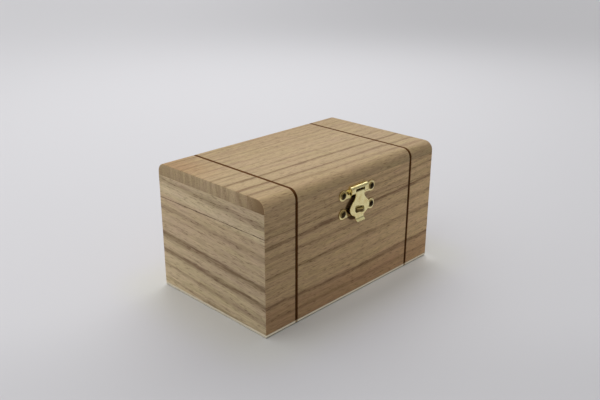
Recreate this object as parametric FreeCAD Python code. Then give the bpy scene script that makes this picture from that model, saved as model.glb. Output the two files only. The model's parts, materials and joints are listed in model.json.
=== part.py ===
import FreeCAD, Part
import math
import os

os.makedirs("parts", exist_ok=True)

# Lengths are in millimetres. X runs along the front, Y to the back, Z up.
# The origin is the middle of the underside.

# Box
box_length = 160.0
box_depth = 98.0
body_height = 63.5
lid_height = 23.0
wall = 8.0
top_thickness = 8.0
panel_thickness = 2.0
lid_gap = 0.1
top_round = 6.2
corner_round = 0.5

# Inlay lines
inlay_from_end = 25.4
kerf_width = 1.8
kerf_depth = 2.0
inlay_recess = 0.1

# Brass sheet and nails
sheet = 0.7
ear_spread = 13.5
ear_radius = 3.5
ear_neck = 5.6
nail_head_radius = 2.4
nail_head_height = 1.4
nail_shank_half = 0.7
nail_end_cover = 1.5
nail_taper = 0.4
nail_clearance = 0.05
dome_steps = 2

# Hasp plate on the lid
hasp_shift = -1.0
plate_rise = 8.6
plate_below_ears = 3.1
barrel_rise = 8.8
barrel_length = 16.0
barrel_out = 3.1
barrel_up = 4.3
barrel_down = 1.3
barrel_round = 1.9
barrel_recess = 1.0
window_clearance = 0.3
bridge_edge_rise = 2.4

# Hasp tongue
hasp_pin_radius = 0.6
hasp_pin_out = 1.8
running_clearance = 0.05
tongue_knuckle_radius = 1.2
neck_width = 8.0
neck_length = 2.0
belly_width = 18.4
belly_rise = 2.2
belly_drop = 6.3
lip_width = 7.8
lip_straight = 0.4
lip_radius = 1.6
lip_flat = 1.5
lip_angle = 50.0

# Catch plate on the body
catch_drop = 3.6
catch_length = 20.6
catch_height = 6.0
lug_width = 7.4
lug_height = 2.2
lug_lift = 0.8
lug_show = 3.0
slot_clearance = 0.6
slot_drop = 0.25

# Hinges
hinge_from_end = 40.0
leaf_width = 18.0
leaf_height = 9.0
leaf_thickness = 0.8
knuckle_radius = 1.7
knuckle_width = 6.6
knuckle_gap = 0.2
knuckle_clearance = 0.1
knuckle_relief = 0.3
hinge_pin_radius = 0.8
pin_head_radius = 1.1
pin_head_height = 0.5
hinge_nail_from_end = 3.8
hinge_nail_rise = 5.6
hinge_nail_head_radius = 1.5
hinge_nail_head_height = 0.7
hinge_nail_shank_half = 0.6

# Places that follow from the sizes
half_length = box_length / 2
half_depth = box_depth / 2
lid_bottom = body_height + lid_gap
top = body_height + lid_height
rail_top = top - top_thickness
inlay_x = half_length - inlay_from_end
past = 1.0
full_turn = 2 * math.pi

V = FreeCAD.Vector
x_axis = V(1, 0, 0)
y_axis = V(0, 1, 0)
z_axis = V(0, 0, 1)


def box_between(x0, x1, y0, y1, z0, z1):
    return Part.makeBox(x1 - x0, y1 - y0, z1 - z0, V(x0, y0, z0))


def rod(radius, x0, x1, y, z):
    return Part.makeCylinder(radius, x1 - x0, V(x0, y, z), x_axis)


def outline_face(edges):
    return Part.Face(Part.Wire(Part.__sortEdges__(edges)))


def prism(points, z0, z1):
    corners = [V(x, y, z0) for x, y in points]
    return Part.Face(Part.makePolygon(corners + corners[:1])).extrude(V(0, 0, z1 - z0))


# Half an ellipse on a straight foot, given by its foot's middle, half width and reach as vectors
def half_oval(foot, half_width, reach, thickness):
    long, short = sorted((half_width, reach), key=lambda arm: -arm.Length)
    curve = Part.Ellipse(foot + long, foot + short, foot)
    start, tip, end = [curve.parameter(foot + arm) for arm in (-half_width, reach, half_width)]
    if (tip - start) % full_turn > (end - start) % full_turn:
        start, end = end, start
    arc = Part.ArcOfEllipse(curve, start, start + (end - start) % full_turn).toShape()
    chord = Part.makeLine(foot - half_width, foot + half_width)
    return outline_face([arc, chord]).extrude(thickness)


# Section of the lid across its length, moved in from the outer faces by inset
def lid_section(inset, z0):
    half = half_depth - inset
    crown = top - inset
    bend = max(top_round - inset, 0.1)
    mid = bend * (1 - 0.5 ** 0.5)
    front_arc = Part.Arc(V(0, -half, crown - bend), V(0, mid - half, crown - mid), V(0, bend - half, crown))
    back_arc = Part.Arc(V(0, half - bend, crown), V(0, half - mid, crown - mid), V(0, half, crown - bend))
    edges = [
        Part.makeLine(V(0, -half, z0), V(0, -half, crown - bend)),
        front_arc.toShape(),
        Part.makeLine(V(0, bend - half, crown), V(0, half - bend, crown)),
        back_arc.toShape(),
        Part.makeLine(V(0, half, crown - bend), V(0, half, z0)),
        Part.makeLine(V(0, half, z0), V(0, -half, z0)),
    ]
    return outline_face(edges)


def lid_slice(inset, x0, x1, z0):
    slab = lid_section(inset, z0).extrude(V(x1 - x0, 0, 0))
    slab.translate(V(x0, 0, 0))
    return slab


# Outer form of the body: upright corners eased
def make_body_form():
    form = box_between(-half_length, half_length, -half_depth, half_depth, 0, body_height)
    upright = [edge for edge in form.Edges if edge.BoundBox.ZLength > body_height / 2]
    return form.makeFillet(corner_round, upright)


# Outer form of the lid: long edges well rounded, end edges eased all round but for the rim
def make_lid_form():
    form = lid_slice(0, -half_length, half_length, lid_bottom)
    ends = []
    for edge in form.Edges:
        if edge.BoundBox.XLength < corner_round and edge.BoundBox.ZMax > lid_bottom + corner_round:
            ends.append(edge)
    return form.makeFillet(corner_round, ends)


# Four boards in a ring, mitred at the corners
def mitred_ring(z0, z1):
    a, b = half_length, half_depth
    c, d = half_length - wall, half_depth - wall
    return {
        "front": prism([(-a, -b), (a, -b), (c, -d), (-c, -d)], z0, z1),
        "back": prism([(a, b), (-a, b), (-c, d), (c, d)], z0, z1),
        "left": prism([(-a, b), (-a, -b), (-c, -d), (-c, d)], z0, z1),
        "right": prism([(a, -b), (a, b), (c, d), (c, -d)], z0, z1),
    }


# Shank of a cut nail: square, tapering to its point, driven in from a seat on the front or the back
def nail_shank(x, z, seat, facing, half_width, length):
    tip = half_width * nail_taper
    shape = Part.makeWedge(
        -half_width, 0, -half_width, -tip, -tip, half_width, length, half_width, tip, tip
    )
    return driven(shape, x, z, seat, facing)


def driven(shape, x, z, seat, facing):
    if facing > 0:
        shape.rotate(V(0, 0, 0), z_axis, 180)
    shape.translate(V(x, facing * (half_depth + seat), z))
    return shape


def nail_length(seat):
    return seat + wall - nail_end_cover


# The domed head is turned from points on a circle's arc
def nail(x, z, seat, facing, head_radius, head_height, shank_half):
    dome_radius = (head_radius ** 2 + head_height ** 2) / (2 * head_height)
    dome_angle = math.asin(head_radius / dome_radius)
    profile = [V(0, 0, 0)]
    for step in range(dome_steps, -1, -1):
        angle = dome_angle * step / dome_steps
        rise = dome_radius * math.cos(angle) - dome_radius + head_height
        profile.append(V(dome_radius * math.sin(angle), -rise, 0))
    head = Part.Face(Part.makePolygon(profile + profile[:1])).revolve(V(0, 0, 0), y_axis, 360)
    head = driven(head, x, z, seat, facing)
    return head.fuse(nail_shank(x, z, seat, facing, shank_half, nail_length(seat)))


def nail_hole(x, z, seat, facing, shank_half):
    return nail_shank(x, z, seat, facing, shank_half + nail_clearance, nail_length(seat) + nail_clearance)


def hasp_nail(x, z):
    return nail(x, z, sheet, -1, nail_head_radius, nail_head_height, nail_shank_half)


def hinge_nail(x, z):
    return nail(x, z, leaf_thickness, 1, hinge_nail_head_radius, hinge_nail_head_height, hinge_nail_shank_half)


# Places of the hasp
ear_z = body_height + plate_rise
barrel_z = body_height + barrel_rise
catch_z = body_height - catch_drop
barrel_y = -half_depth - hasp_pin_out
ear_xs = (-ear_spread, ear_spread)
hasp_nail_spots = [(x, ear_z) for x in ear_xs]
catch_nail_spots = [(x, catch_z) for x in ear_xs]

# Places of the hinges
hinge_y = half_depth + knuckle_clearance + knuckle_radius
hinge_z = body_height + lid_gap / 2
hinge_x = half_length - hinge_from_end
hinge_nail_reach = leaf_width / 2 - hinge_nail_from_end
hinge_nail_xs = [side * hinge_x + step for side in (-1, 1) for step in (-hinge_nail_reach, hinge_nail_reach)]
lid_leaf_spots = [(x, hinge_z + hinge_nail_rise) for x in hinge_nail_xs]
body_leaf_spots = [(x, hinge_z - hinge_nail_rise) for x in hinge_nail_xs]

parts = {}

# Wooden body
body_form = make_body_form()
body_kerfs = []
for side, wall_y in (("front", -half_depth), ("back", half_depth)):
    inward = 1 if wall_y < 0 else -1
    for end, x in (("left", -inlay_x), ("right", inlay_x)):
        edge_a, edge_b = sorted((wall_y - inward * past, wall_y + inward * kerf_depth))
        face_a, face_b = sorted((wall_y + inward * inlay_recess, wall_y + inward * kerf_depth))
        x0, x1 = x - kerf_width / 2, x + kerf_width / 2
        body_kerfs.append(box_between(x0, x1, edge_a, edge_b, panel_thickness - past, body_height + past))
        parts["body_inlay_" + side + "_" + end] = box_between(x0, x1, face_a, face_b, panel_thickness, body_height)

catch_holes = [nail_hole(x + hasp_shift, z, sheet, -1, nail_shank_half) for x, z in catch_nail_spots]
leaf_holes = [nail_hole(x, z, leaf_thickness, 1, hinge_nail_shank_half) for x, z in body_leaf_spots]
for side, board in mitred_ring(panel_thickness, body_height).items():
    parts["body_" + side + "_wall"] = board.common(body_form).cut(body_kerfs + catch_holes + leaf_holes)

panel = box_between(-half_length, half_length, -half_depth, half_depth, 0, panel_thickness)
parts["bottom_panel"] = panel.common(body_form)

# Wooden lid
lid_form = make_lid_form()
lid_kerfs = []
for end, x in (("left", -inlay_x), ("right", inlay_x)):
    x0, x1 = x - kerf_width / 2, x + kerf_width / 2
    core = lid_slice(kerf_depth, x0, x1, lid_bottom - 2 * past)
    lid_kerfs.append(lid_slice(-past, x0, x1, lid_bottom - past).cut(core))
    parts["lid_inlay_" + end] = lid_slice(inlay_recess, x0, x1, lid_bottom).cut(core)

plate_holes = [nail_hole(x + hasp_shift, z, sheet, -1, nail_shank_half) for x, z in hasp_nail_spots]
leaf_holes = [nail_hole(x, z, leaf_thickness, 1, hinge_nail_shank_half) for x, z in lid_leaf_spots]
for side, board in mitred_ring(lid_bottom, rail_top).items():
    parts["lid_" + side + "_rail"] = board.common(lid_form).cut(lid_kerfs + plate_holes + leaf_holes)

cover = box_between(-half_length, half_length, -half_depth, half_depth, rail_top, top)
parts["lid_top_board"] = cover.common(lid_form).cut(lid_kerfs)


# Plate with a round ear at each end, joined by narrower necks
def eared_plate(z, middle_length, middle_z0, middle_z1):
    y0, y1 = -half_depth - sheet, -half_depth
    plate = box_between(-middle_length / 2, middle_length / 2, y0, y1, middle_z0, middle_z1)
    neck = box_between(-ear_spread, ear_spread, y0, y1, z - ear_neck / 2, z + ear_neck / 2)
    ears = [Part.makeCylinder(ear_radius, sheet, V(x, y0, z), y_axis) for x in ear_xs]
    holes = [nail_hole(x, z, sheet, -1, nail_shank_half) for x in ear_xs]
    return plate.fuse([neck] + ears).removeSplitter().cut(holes)


# Block bowed out of the plate's middle, rounded along its two outer edges
def bowed_block(half_width, inset):
    front = -half_depth - barrel_out + inset
    edge_radius = barrel_round - inset
    edge_y = front + edge_radius
    z0, z1 = barrel_z - barrel_down + inset, barrel_z + barrel_up - inset
    room = box_between(-half_width, half_width, front, -half_depth, z0, z1)
    back = box_between(-half_width, half_width, edge_y, -half_depth, z0, z1)
    face = box_between(-half_width, half_width, front, edge_y, z0 + edge_radius, z1 - edge_radius)
    edges = [rod(edge_radius, -half_width, half_width, edge_y, z) for z in (z0 + edge_radius, z1 - edge_radius)]
    return back.fuse([face] + [edge.common(room) for edge in edges]).removeSplitter()


# Hasp plate: the bowed block is the barrel, with a window for the tongue under a bridge
half_barrel = barrel_length / 2
half_window = neck_width / 2 + window_clearance
hasp_bore = hasp_pin_radius + running_clearance
plate = eared_plate(ear_z, barrel_length, ear_z - plate_below_ears, barrel_z)
plate = plate.fuse(bowed_block(half_barrel, 0)).removeSplitter()
window = box_between(
    -half_window, half_window, -half_depth - barrel_out - past, -half_depth + past,
    barrel_z - barrel_down, barrel_z + bridge_edge_rise
)
plate = plate.cut([window, bowed_block(half_window, sheet)])
parts["hasp_plate"] = plate.cut(rod(hasp_bore, -half_barrel - past, half_barrel + past, barrel_y, barrel_z))

pin_half = half_barrel - barrel_recess
parts["hasp_pin"] = rod(hasp_pin_radius, -pin_half, pin_half, barrel_y, barrel_z)

# Hasp tongue: pear outline, rolled knuckle, slot for the lug, lip turned out for a finger
tongue_face = barrel_y - tongue_knuckle_radius
tongue_back = tongue_face + sheet
half_neck = neck_width / 2
half_belly = belly_width / 2
half_lip = lip_width / 2
belly_z = catch_z + belly_rise
shoulder_z = barrel_z - neck_length
lip_z = belly_z - belly_drop - lip_straight


def flank(side):
    curve = Part.BSplineCurve()
    ends = [V(side * half_neck, tongue_face, shoulder_z), V(side * half_belly, tongue_face, belly_z)]
    down = V(0, 0, -1)
    curve.interpolate(Points=ends, InitialTangent=down, FinalTangent=down)
    return curve.toShape()


tongue_edges = [
    Part.makeLine(V(-half_neck, tongue_face, barrel_z), V(half_neck, tongue_face, barrel_z)),
    Part.makeLine(V(-half_neck, tongue_face, barrel_z), V(-half_neck, tongue_face, shoulder_z)),
    Part.makeLine(V(half_neck, tongue_face, barrel_z), V(half_neck, tongue_face, shoulder_z)),
    flank(-1),
    flank(1),
    Part.makeLine(V(-half_belly, tongue_face, belly_z), V(half_belly, tongue_face, belly_z)),
]
tongue = outline_face(tongue_edges).extrude(V(0, sheet, 0))
belly = half_oval(V(0, tongue_face, belly_z), x_axis * half_belly, z_axis * -belly_drop, y_axis * sheet)
tab = box_between(-half_lip, half_lip, tongue_face, tongue_back, lip_z, belly_z)
lip_section = Part.makePolygon([
    V(-half_lip, tongue_face, lip_z),
    V(half_lip, tongue_face, lip_z),
    V(half_lip, tongue_back, lip_z),
    V(-half_lip, tongue_back, lip_z),
    V(-half_lip, tongue_face, lip_z),
])
lip_axis = V(0, tongue_face - lip_radius, lip_z)
lip = Part.Face(lip_section).revolve(lip_axis, x_axis, -lip_angle)
turned_section = Part.Face(lip_section)
turned_section.rotate(lip_axis, x_axis, -lip_angle)
outward = V(0, -math.sin(math.radians(lip_angle)), -math.cos(math.radians(lip_angle)))
flange = turned_section.extrude(outward * lip_flat)
knuckle = rod(tongue_knuckle_radius, -half_neck, half_neck, barrel_y, barrel_z)
tongue = tongue.fuse([belly, tab, lip, flange, knuckle]).removeSplitter()

lug_z = catch_z + lug_lift
slot_z = lug_z - slot_drop
slot_half = lug_width / 2 + slot_clearance
slot_radius = lug_height / 2 + slot_clearance
slot = box_between(
    slot_radius - slot_half, slot_half - slot_radius, tongue_face - past, tongue_back + past,
    slot_z - slot_radius, slot_z + slot_radius
)
for side in (-1, 1):
    seat = V(side * (slot_half - slot_radius), tongue_face - past, slot_z)
    slot = slot.fuse(Part.makeCylinder(slot_radius, sheet + 2 * past, seat, y_axis))
bore = rod(hasp_bore, -half_neck - past, half_neck + past, barrel_y, barrel_z)
parts["hasp_tongue"] = tongue.cut([slot, bore])

# Catch plate: the sheet is pressed out to a lug that stands through the slot, hollow behind
catch = eared_plate(catch_z, catch_length, catch_z - catch_height / 2, catch_z + catch_height / 2)
lug_out = -half_depth - tongue_face + lug_show
lug_foot = V(0, -half_depth, lug_z - lug_height / 2)
lug_rise = z_axis * lug_height
lug = half_oval(lug_foot, x_axis * (lug_width / 2), y_axis * -lug_out, lug_rise)
hollow_rise = z_axis * (lug_height - 2 * sheet)
hollow_foot = lug_foot + z_axis * sheet
hollow = half_oval(hollow_foot, x_axis * (lug_width / 2 - sheet), y_axis * (sheet - lug_out), hollow_rise)
parts["catch_plate"] = catch.fuse(lug).removeSplitter().cut(hollow)

# Hinges: the body leaf has the two outer knuckles, the lid leaf the one between them
hinge_bore = hinge_pin_radius + running_clearance


def leaf(x, knuckles, direction):
    z_far = hinge_z + direction * leaf_height
    z_near = hinge_z + direction * (knuckle_radius + knuckle_relief)
    y1 = half_depth + leaf_thickness
    shape = box_between(x - leaf_width / 2, x + leaf_width / 2, half_depth, y1, *sorted((z_near, z_far)))
    rolls = []
    for x0, x1 in knuckles:
        rolls.append(rod(knuckle_radius, x0, x1, hinge_y, hinge_z))
        rolls.append(box_between(x0, x1, half_depth, y1, *sorted((hinge_z, z_near))))
    shape = shape.fuse(rolls).removeSplitter()
    shape = shape.cut(rod(hinge_bore, x - leaf_width, x + leaf_width, hinge_y, hinge_z))
    holes = []
    for step in (-hinge_nail_reach, hinge_nail_reach):
        spot_z = hinge_z + direction * hinge_nail_rise
        holes.append(nail_hole(x + step, spot_z, leaf_thickness, 1, hinge_nail_shank_half))
    return shape.cut(holes)


for side, x in (("left", -hinge_x), ("right", hinge_x)):
    x0, x1 = x - leaf_width / 2, x + leaf_width / 2
    k0, k1 = x - knuckle_width / 2, x + knuckle_width / 2
    parts[side + "_hinge_lid_leaf"] = leaf(x, [(k0, k1)], 1)
    parts[side + "_hinge_body_leaf"] = leaf(x, [(x0, k0 - knuckle_gap), (k1 + knuckle_gap, x1)], -1)
    heads = [
        Part.makeCylinder(pin_head_radius, pin_head_height, V(x0 - pin_head_height, hinge_y, hinge_z), x_axis),
        Part.makeCylinder(pin_head_radius, pin_head_height, V(x1, hinge_y, hinge_z), x_axis),
    ]
    parts[side + "_hinge_pin"] = rod(hinge_pin_radius, x0, x1, hinge_y, hinge_z).fuse(heads).removeSplitter()

# Nails, one group for each place
parts["hasp_plate_nails"] = Part.makeCompound([hasp_nail(x, z) for x, z in hasp_nail_spots])
parts["catch_plate_nails"] = Part.makeCompound([hasp_nail(x, z) for x, z in catch_nail_spots])
parts["hinge_lid_nails"] = Part.makeCompound([hinge_nail(x, z) for x, z in lid_leaf_spots])
parts["hinge_body_nails"] = Part.makeCompound([hinge_nail(x, z) for x, z in body_leaf_spots])

# The hasp sits a little to the left of the middle
for name in ("hasp_plate", "hasp_pin", "hasp_plate_nails", "hasp_tongue", "catch_plate", "catch_plate_nails"):
    parts[name].translate(V(hasp_shift, 0, 0))

for name, shape in parts.items():
    print(name, len(shape.Solids), shape.isValid(), round(shape.Volume, 3))
    shape.exportStep("parts/" + name + ".step")
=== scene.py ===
import json
import math

import bmesh
import bpy
import numpy as np
from mathutils import Matrix, Vector
from mathutils.geometry import tessellate_polygon


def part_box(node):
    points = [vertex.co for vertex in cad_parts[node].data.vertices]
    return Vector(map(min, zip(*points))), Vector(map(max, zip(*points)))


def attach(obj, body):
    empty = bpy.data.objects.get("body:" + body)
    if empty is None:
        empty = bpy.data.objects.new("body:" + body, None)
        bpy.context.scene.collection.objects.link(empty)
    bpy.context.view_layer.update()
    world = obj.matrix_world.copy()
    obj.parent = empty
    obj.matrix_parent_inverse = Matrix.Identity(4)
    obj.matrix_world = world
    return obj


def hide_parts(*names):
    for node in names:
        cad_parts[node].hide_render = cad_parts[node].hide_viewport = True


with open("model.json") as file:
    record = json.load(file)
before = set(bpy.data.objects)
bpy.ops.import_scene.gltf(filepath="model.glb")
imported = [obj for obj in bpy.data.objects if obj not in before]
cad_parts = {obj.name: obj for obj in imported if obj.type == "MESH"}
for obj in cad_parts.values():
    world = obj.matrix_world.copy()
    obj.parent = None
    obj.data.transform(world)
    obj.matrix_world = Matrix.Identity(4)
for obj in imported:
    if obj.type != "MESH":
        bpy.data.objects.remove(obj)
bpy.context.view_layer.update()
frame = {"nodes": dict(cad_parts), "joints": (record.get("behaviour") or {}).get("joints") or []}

scene = bpy.context.scene
scene.view_settings.view_transform = "Standard"
print("frame loaded:", len(frame["nodes"]), "solids")


# Lowest and highest corner of a solid, in millimetres
def boxMm(node):
    low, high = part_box(node)
    return np.array(low) * 1000, np.array(high) * 1000


# Sizes of the box come from the solids, in millimetres like all that follows
panelBox = boxMm("bottom_panel")
wallBox = boxMm("body_left_wall")
railBox = boxMm("lid_left_rail")
stripBox = boxMm("lid_inlay_right")
halfLength, halfDepth, panelTop = panelBox[1]
bodyTop = wallBox[1][2]
railLow, railTop = railBox[0][2], railBox[1][2]
lidTop = boxMm("lid_top_board")[1][2]
wall = wallBox[1][0] + halfLength
inlayX = (stripBox[0][0] + stripBox[1][0]) / 2
kerfWidth = stripBox[1][0] - stripBox[0][0]
recess = lidTop - stripBox[1][2]

# Places of the hasp and the hinges come from their joints
joints = {joint["name"]: joint for joint in frame["joints"]}
haspX, barrelY, barrelZ = (value * 1000 for value in joints["hasp_swing"]["pos_m"])
hingeY, hingeZ = (value * 1000 for value in joints["lid_hinge"]["pos_m"][1:])


# Sum of four sines with fixed phases: uneven waves of about the given length and height
def waver(t, seed, wave, height):
    phase = np.random.default_rng(seed).uniform(0, 2 * np.pi, 4)
    waves = [np.sin(2 * np.pi * t / (wave * k) + p) for k, p in zip((1, 0.63, 0.41, 0.27), phase)]
    return height * sum(waves) / 4


# Four-sided faces between neighbouring rows and columns, the last joined to the first where it wraps
def gridQuads(rows, cols, wrapRows=False):
    r, c = np.meshgrid(np.arange(rows if wrapRows else rows - 1), np.arange(cols), indexing="ij")
    on, n = (r + 1) % rows, (c + 1) % cols
    return np.stack([r * cols + c, on * cols + c, on * cols + n, r * cols + n], -1).reshape(-1, 4)


# Closed skin: a ring of points carried through the rows, with a flat face at each end
def closedRun(points):
    rows, cols = points.shape[:2]
    ends = np.stack([np.arange(cols), np.arange(cols) + (rows - 1) * cols])
    return points.reshape(-1, 3), [gridQuads(rows, cols), ends]


# Closed outline through square corners: each corner turned on an arc, each side divided evenly
def roundedLoop(corners, radii, arcSteps, sideSteps):
    corners = np.array(corners, float)
    runs = []
    for k in range(4):
        here, ahead = corners[k], corners[(k + 1) % 4]
        back = (corners[k - 1] - here) / np.linalg.norm(corners[k - 1] - here)
        on = (ahead - here) / np.linalg.norm(ahead - here)
        turn = np.linspace(0, np.pi / 2, arcSteps[k] + 1)[:, None]
        middle = here + radii[k] * (back + on)
        start, end = here + radii[k] * on, ahead - radii[(k + 1) % 4] * on
        runs.append(middle - radii[k] * (np.cos(turn) * on + np.sin(turn) * back))
        runs.append(start + (end - start) * np.linspace(0, 1, sideSteps[k] + 1)[1:-1, None])
    return np.concatenate(runs)


# Mesh from skins in millimetres, faces turned outwards, smooth but for its sharp edges; each skin has its own
# material, the last one serving for the rest
def makePiece(name, skins, body, standsFor, materials, sharp=32):
    points, faces, coats, start = [], [], [], 0
    for k, (skinPoints, groups) in enumerate(skins):
        points.append(skinPoints)
        for group in groups:
            faces += (np.asarray(group) + start).tolist()
        start += len(skinPoints)
        coats += [min(k, len(materials) - 1)] * (len(faces) - len(coats))
    mesh = bpy.data.meshes.new(name)
    mesh.from_pydata((np.concatenate(points) * 0.001).tolist(), [], faces)
    work = bmesh.new()
    work.from_mesh(mesh)
    bmesh.ops.recalc_face_normals(work, faces=work.faces)
    work.to_mesh(mesh)
    work.free()
    mesh.shade_smooth()
    mesh.set_sharp_from_angle(angle=math.radians(sharp))
    for material in materials:
        mesh.materials.append(material)
    mesh.polygons.foreach_set("material_index", coats)
    piece = bpy.data.objects.new(name, mesh)
    scene.collection.objects.link(piece)
    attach(piece, body)
    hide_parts(standsFor)
    return piece


# Node with its settings and its inputs, each a value or another node's output
def addNode(tree, kind, inputs=None, **settings):
    node = tree.nodes.new(kind)
    for key, value in settings.items():
        setattr(node, key, value)
    for key, value in (inputs or {}).items():
        if isinstance(value, bpy.types.NodeSocket):
            tree.links.new(value, node.inputs[key])
        else:
            node.inputs[key].default_value = value
    return node


# One step of arithmetic on values or outputs
def calc(tree, operation, a, b=0.0, c=0.0):
    return addNode(tree, "ShaderNodeMath", {0: a, 1: b, 2: c}, operation=operation).outputs[0]


# First value less the second
def minus(tree, a, b):
    return calc(tree, "SUBTRACT", a, b)


# A base, and a value times a factor on top of it
def plus(tree, base, value, factor):
    return calc(tree, "MULTIPLY_ADD", value, factor, base)


# All the values multiplied, one after another
def times(tree, first, *others):
    for value in others:
        first = calc(tree, "MULTIPLY", first, value)
    return first


# How far one value is from another, either way: the size of their difference
def apart(tree, a, b):
    return calc(tree, "ABSOLUTE", minus(tree, a, b))


# Straight distance: root of the sum of two squares
def distance(tree, a, b):
    return calc(tree, "SQRT", calc(tree, "ADD", calc(tree, "POWER", a, 2.0), calc(tree, "POWER", b, 2.0)))


# Smooth S-shaped change from one level to another between two limits
def fade(tree, value, low, high, toLow=0.0, toHigh=1.0):
    limits = {"Value": value, "From Min": low, "From Max": high, "To Min": toLow, "To Max": toHigh}
    return addNode(tree, "ShaderNodeMapRange", limits, interpolation_type="SMOOTHSTEP").outputs[0]


# The same change from full to none
def fadeOut(tree, value, low, high):
    return fade(tree, value, low, high, 1.0, 0.0)


# Two colours blended by a share; a plain colour gets full cover
def blendColour(tree, kind, share, a, b):
    a, b = ((*colour, 1) if isinstance(colour, tuple) else colour for colour in (a, b))
    node = addNode(tree, "ShaderNodeMix", {0: share, 6: a, 7: b}, data_type="RGBA", blend_type=kind)
    return node.outputs[2]


# Colour painted over by a share of another
def cover(tree, share, colour, paint):
    return blendColour(tree, "MIX", share, colour, paint)


# Colour multiplied by a tone, by a share
def tint(tree, share, colour, tone):
    return blendColour(tree, "MULTIPLY", share, colour, tone)


# Colour or grey level that changes from stop to stop; each stop has a place and a colour or a level
def ramp(tree, value, stops, interpolation="LINEAR"):
    node = addNode(tree, "ShaderNodeValToRGB", {0: value})
    node.color_ramp.interpolation = interpolation
    marks = node.color_ramp.elements
    while len(marks) < len(stops):
        marks.new(1.0)
    for mark, (place, colour) in zip(marks, stops):
        mark.position = place
        mark.color = (*colour, 1) if isinstance(colour, tuple) else (colour, colour, colour, 1)
    return node.outputs[0]


# Noise on coordinates divided by the size of its grain in each direction, in millimetres
def grainNoise(tree, axes, sizes, detail=2.0, rough=0.5, shift=0.0):
    x, y, z = (calc(tree, "DIVIDE", axis, size) for axis, size in zip(axes, sizes))
    place = addNode(tree, "ShaderNodeCombineXYZ", {"X": calc(tree, "ADD", x, shift), "Y": y, "Z": z})
    inputs = {"Vector": place.outputs[0], "Scale": 1.0, "Detail": detail, "Roughness": rough}
    return addNode(tree, "ShaderNodeTexNoise", inputs).outputs["Fac"]


# Noise counted from its middle, so that it swings both ways
def swing(tree, noise):
    return minus(tree, noise, 0.5)


# How squarely a face looks along an axis: the size of its normal's part that way, faded between two limits
def facing(tree, axis, low, high):
    normal = addNode(tree, "ShaderNodeTexCoord").outputs["Normal"]
    parts = addNode(tree, "ShaderNodeSeparateXYZ", {0: normal}).outputs
    return fade(tree, calc(tree, "ABSOLUTE", parts["xyz".index(axis)]), low, high)


# Material with its tree, its shader and the three coordinates of the piece in millimetres
def newMaterial(name):
    material = bpy.data.materials.new(name)
    material.use_nodes = True
    tree = material.node_tree
    shader = tree.nodes["Principled BSDF"]
    place = addNode(tree, "ShaderNodeTexCoord").outputs["Object"]
    scaled = addNode(tree, "ShaderNodeVectorMath", {0: place, "Scale": 1000.0}, operation="SCALE").outputs[0]
    axes = addNode(tree, "ShaderNodeSeparateXYZ", {0: scaled}).outputs
    return material, tree, shader, {"x": axes[0], "y": axes[1], "z": axes[2]}


# Colour, roughness and height joined to the shader; bump is the strength of the relief and its depth in metres
def joinShader(tree, shader, colour, roughness, height, bump):
    strength, reach = bump
    relief = addNode(tree, "ShaderNodeBump", {"Strength": strength, "Distance": reach, "Height": height})
    tree.links.new(colour, shader.inputs["Base Color"])
    tree.links.new(roughness, shader.inputs["Roughness"])
    tree.links.new(relief.outputs[0], shader.inputs["Normal"])


# Sizes of the hasp, which the marks on wood and brass use too. Its plate is a sheet with a round ear at each end
# and a middle that is bowed out to a block, with a window for the tongue under a bridge.
haspShape = {
    "sheet": 0.7, "edgeEase": 0.15, "earSpread": 13.5, "earRadius": 3.5, "neckHalf": 2.8, "earsDown": 0.2,
    "plateHalf": 8.0, "plateDown": 3.1, "blockOut": 3.1, "blockUp": 4.3, "blockDown": 1.3, "blockRound": 1.9,
    "blockEase": 0.12, "bridgeRise": 2.4, "bridgeSet": 0.02, "bridgeOver": 0.3, "bridgeEase": 0.1,
    "windowHalf": 4.3, "endHole": 1.1, "pinRadius": 0.6, "pinHalf": 7.0,
    "catchDown": 12.4, "catchHalf": 10.3, "catchRise": 3.0,
    "lugHalf": 3.7, "lugReach": 6.0, "lugRise": 1.1, "lugLift": 0.8, "lugEase": 0.3,
}
earZ, catchZ = barrelZ - haspShape["earsDown"], barrelZ - haspShape["catchDown"]

# Tongue: a pear with a neck that rolls round the pin, a slot, and a lip that turns outwards
tongueShape = {
    "sheet": 0.55, "edgeEase": 0.17, "neckHalf": 4.0, "neckLength": 2.0,
    "bellyHalf": 9.2, "bellyRise": 2.2, "bellyDrop": 6.3,
    "lipHalf": 3.9, "lipStraight": 0.4, "lipRadius": 1.6, "lipTurn": 50, "lipFlat": 1.5, "lipCorner": 0.7,
    "rollRadius": 1.2, "rollTurn": 285, "slotHalf": 4.3, "slotRadius": 1.7, "slotRise": 0.55,
}
bellyZ = catchZ + tongueShape["bellyRise"]

# Painted shade that the closed tongue would cast on what lies under it: full inside a pear outline a little wider
# than the tongue and moved to the left, none outside it, and none above the barrel or away from the front's surface
tongueShadeShape = {"shift": 1.4, "wider": 0.2, "shoulderDown": 1.8, "drop": 9.0, "soft": 1.0, "topSoft": 1.0,
             "foot": (0.0, 0.4), "depthFrom": (-0.5, -0.25), "depthTo": (1.0, 1.4)}


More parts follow.
